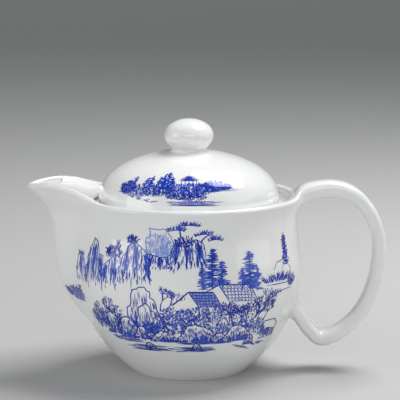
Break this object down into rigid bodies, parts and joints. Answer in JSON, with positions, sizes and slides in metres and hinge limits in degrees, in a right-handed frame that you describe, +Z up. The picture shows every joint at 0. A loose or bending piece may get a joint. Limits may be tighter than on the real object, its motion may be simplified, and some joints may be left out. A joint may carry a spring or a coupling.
{
  "type": "teapot",
  "caption": "White porcelain teapot with a bulging body, open pouring beak, loop handle, inset domed lid with a ball knob and lift-out steel leaf strainer; cobalt landscape decoration.",
  "frame": {"origin": "centre of the foot ring, on the surface that the pot stands on", "axes": "+Z up along the turning axis, the handle towards +X and the beak towards -X"},
  "size_m": [0.1642, 0.1044, 0.1167],
  "materials": {
    "porcelain": "clear gloss glaze over white porcelain, with cobalt underglaze decoration",
    "strainer_steel": "brushed stainless sheet"
  },
  "bodies": {
    "pot": {"pot_body": "porcelain", "pouring_beak": "porcelain", "beak_bridge": "porcelain", "seat_ring": "porcelain", "handle": "porcelain"},
    "strainer": {"strainer_rim": "strainer_steel", "strainer_wall": "strainer_steel", "strainer_floor": "strainer_steel"},
    "lid": {"lid_dome": "porcelain", "lid_knob": "porcelain"}
  },
  "joints": [
    {"name": "strainer_lift", "type": "slide", "parent": "pot", "child": "strainer", "axis": [0, 0, 1], "range_m": [0, 0.062]},
    {"name": "lid_lift", "type": "slide", "parent": "strainer", "child": "lid", "axis": [0, 0, 1], "range_m": [0, 0.045]}
  ]
}
